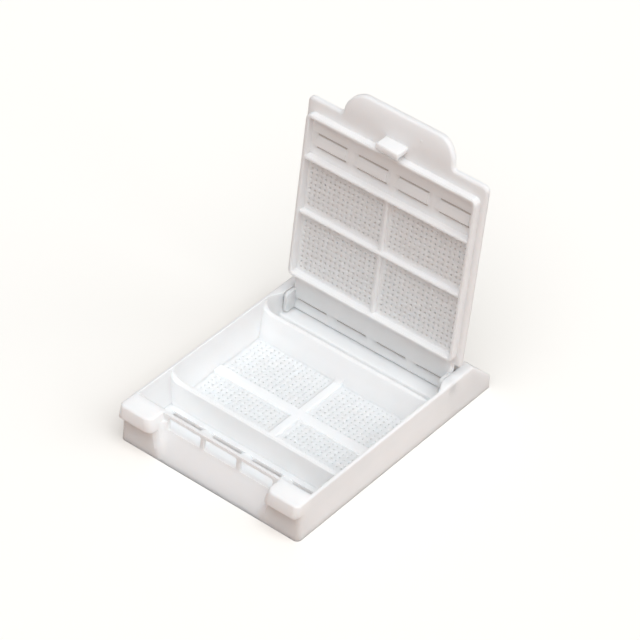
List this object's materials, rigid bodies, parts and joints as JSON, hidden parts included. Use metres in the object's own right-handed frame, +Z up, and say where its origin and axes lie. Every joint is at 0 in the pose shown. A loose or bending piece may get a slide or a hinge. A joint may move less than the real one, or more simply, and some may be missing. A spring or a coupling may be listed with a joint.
{
  "type": "tissue cassette",
  "caption": "White moulded tissue cassette: an open perforated tray with a sloping writing face and a hinged perforated lid with a finger tab, standing open.",
  "frame": {"origin": "middle of the base's underside, half way between its front and rear edges at the foot", "axes": "+X to the right along the hinge, +Y from the writing face to the hinge, +Z up"},
  "size_m": [0.0284, 0.041, 0.039],
  "materials": {
    "base": "white acetal, fine satin mould finish",
    "lid": "white acetal, fine satin mould finish"
  },
  "bodies": {
    "base": {"base": "base"},
    "lid": {"lid": "lid"}
  },
  "joints": [
    {"name": "lid_hinge", "type": "hinge", "parent": "base", "child": "lid", "pos_m": [0, 0.0112, 0.00512], "axis": [1, 0, 0], "range_deg": [0, 92.22]}
  ]
}
